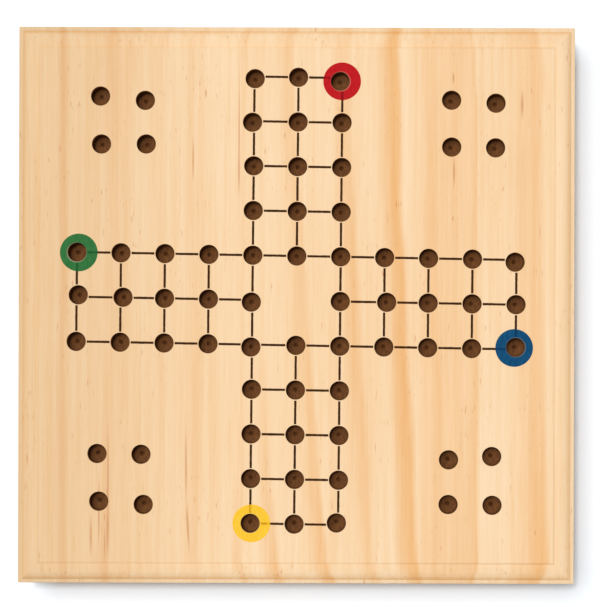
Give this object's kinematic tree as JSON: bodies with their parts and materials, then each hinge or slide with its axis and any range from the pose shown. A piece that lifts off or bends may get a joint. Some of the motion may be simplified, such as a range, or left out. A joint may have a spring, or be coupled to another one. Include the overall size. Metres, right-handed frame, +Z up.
{
  "type": "folding ludo board box",
  "caption": "Hinged pine box whose lid is a ludo board drilled for pegs, with a moulded edge, finger-jointed case, brass hinges, hook latch, pegs and die.",
  "frame": {"origin": "middle of the underside of the closed box", "axes": "+Z up through the lid, +Y towards the hinges, +X to the right seen from the latch"},
  "size_m": [0.204, 0.204, 0.04],
  "materials": {
    "board_pine": "planed and sanded pine with a thin matt varnish; burnt hole floors and printed lines",
    "rail_pine": "planed and sanded pine, thin matt varnish",
    "plywood": "sanded thin plywood, bare",
    "brass": "stamped brass, satin",
    "die_wood": "sanded beech with burnt pips",
    "peg_green": "turned wood, satin paint",
    "peg_red": "turned wood, satin paint",
    "peg_yellow": "turned wood, satin paint",
    "peg_blue": "turned wood, satin paint"
  },
  "bodies": {
    "tray": {"base_panel": "plywood", "divider_crosswise": "plywood", "divider_lengthwise": "plywood", "hinge_left_pin": "brass", "hinge_left_tray_leaf": "brass", "hinge_right_pin": "brass", "hinge_right_tray_leaf": "brass", "latch_stud": "brass", "tray_hinge_screws": "brass", "tray_rail_back": "rail_pine", "tray_rail_front": "rail_pine", "tray_rail_left": "rail_pine", "tray_rail_right": "rail_pine"},
    "lid": {"game_board": "board_pine", "lid_hinge_screws": "brass", "lid_rail_back": "rail_pine", "lid_rail_front": "rail_pine", "lid_rail_left": "rail_pine", "lid_rail_right": "rail_pine", "hinge_left_lid_leaf": "brass", "hinge_right_lid_leaf": "brass", "hook_pivot_screw": "brass"},
    "hook": {"latch_hook": "brass"},
    "peg_blue_1": {"peg_blue_1": "peg_blue"},
    "peg_blue_2": {"peg_blue_2": "peg_blue"},
    "peg_blue_3": {"peg_blue_3": "peg_blue"},
    "peg_blue_4": {"peg_blue_4": "peg_blue"},
    "peg_green_1": {"peg_green_1": "peg_green"},
    "peg_green_2": {"peg_green_2": "peg_green"},
    "peg_green_3": {"peg_green_3": "peg_green"},
    "peg_green_4": {"peg_green_4": "peg_green"},
    "peg_red_1": {"peg_red_1": "peg_red"},
    "peg_red_2": {"peg_red_2": "peg_red"},
    "peg_red_3": {"peg_red_3": "peg_red"},
    "peg_red_4": {"peg_red_4": "peg_red"},
    "peg_yellow_1": {"peg_yellow_1": "peg_yellow"},
    "peg_yellow_2": {"peg_yellow_2": "peg_yellow"},
    "peg_yellow_3": {"peg_yellow_3": "peg_yellow"},
    "peg_yellow_4": {"peg_yellow_4": "peg_yellow"},
    "die": {"die": "die_wood"}
  },
  "joints": [
    {"name": "lid_hinge", "type": "hinge", "parent": "tray", "child": "lid", "pos_m": [0, 0.0999, 0.02], "axis": [-1, 0, 0], "range_deg": [0, 180]},
    {"name": "hook_swing", "type": "hinge", "parent": "lid", "child": "hook", "pos_m": [-0.00435, -0.0975, 0.024], "axis": [0, -1, 0], "range_deg": [0, 42]},
    {"name": "peg_blue_1_lift", "type": "slide", "parent": "tray", "child": "peg_blue_1", "axis": [0, 0, 1], "range_m": [0, 0.016]},
    {"name": "peg_blue_2_lift", "type": "slide", "parent": "tray", "child": "peg_blue_2", "axis": [0, 0, 1], "range_m": [0, 0.016]},
    {"name": "peg_blue_3_lift", "type": "slide", "parent": "tray", "child": "peg_blue_3", "axis": [0, 0, 1], "range_m": [0, 0.016]},
    {"name": "peg_blue_4_lift", "type": "slide", "parent": "tray", "child": "peg_blue_4", "axis": [0, 0, 1], "range_m": [0, 0.016]},
    {"name": "peg_green_1_lift", "type": "slide", "parent": "tray", "child": "peg_green_1", "axis": [0, 0, 1], "range_m": [0, 0.016]},
    {"name": "peg_green_2_lift", "type": "slide", "parent": "tray", "child": "peg_green_2", "axis": [0, 0, 1], "range_m": [0, 0.016]},
    {"name": "peg_green_3_lift", "type": "slide", "parent": "tray", "child": "peg_green_3", "axis": [0, 0, 1], "range_m": [0, 0.016]},
    {"name": "peg_green_4_lift", "type": "slide", "parent": "tray", "child": "peg_green_4", "axis": [0, 0, 1], "range_m": [0, 0.016]},
    {"name": "peg_red_1_lift", "type": "slide", "parent": "tray", "child": "peg_red_1", "axis": [0, 0, 1], "range_m": [0, 0.016]},
    {"name": "peg_red_2_lift", "type": "slide", "parent": "tray", "child": "peg_red_2", "axis": [0, 0, 1], "range_m": [0, 0.016]},
    {"name": "peg_red_3_lift", "type": "slide", "parent": "tray", "child": "peg_red_3", "axis": [0, 0, 1], "range_m": [0, 0.016]},
    {"name": "peg_red_4_lift", "type": "slide", "parent": "tray", "child": "peg_red_4", "axis": [0, 0, 1], "range_m": [0, 0.016]},
    {"name": "peg_yellow_1_lift", "type": "slide", "parent": "tray", "child": "peg_yellow_1", "axis": [0, 0, 1], "range_m": [0, 0.016]},
    {"name": "peg_yellow_2_lift", "type": "slide", "parent": "tray", "child": "peg_yellow_2", "axis": [0, 0, 1], "range_m": [0, 0.016]},
    {"name": "peg_yellow_3_lift", "type": "slide", "parent": "tray", "child": "peg_yellow_3", "axis": [0, 0, 1], "range_m": [0, 0.016]},
    {"name": "peg_yellow_4_lift", "type": "slide", "parent": "tray", "child": "peg_yellow_4", "axis": [0, 0, 1], "range_m": [0, 0.016]},
    {"name": "die_lift", "type": "slide", "parent": "tray", "child": "die", "axis": [0, 0, 1], "range_m": [0, 0.009]}
  ]
}
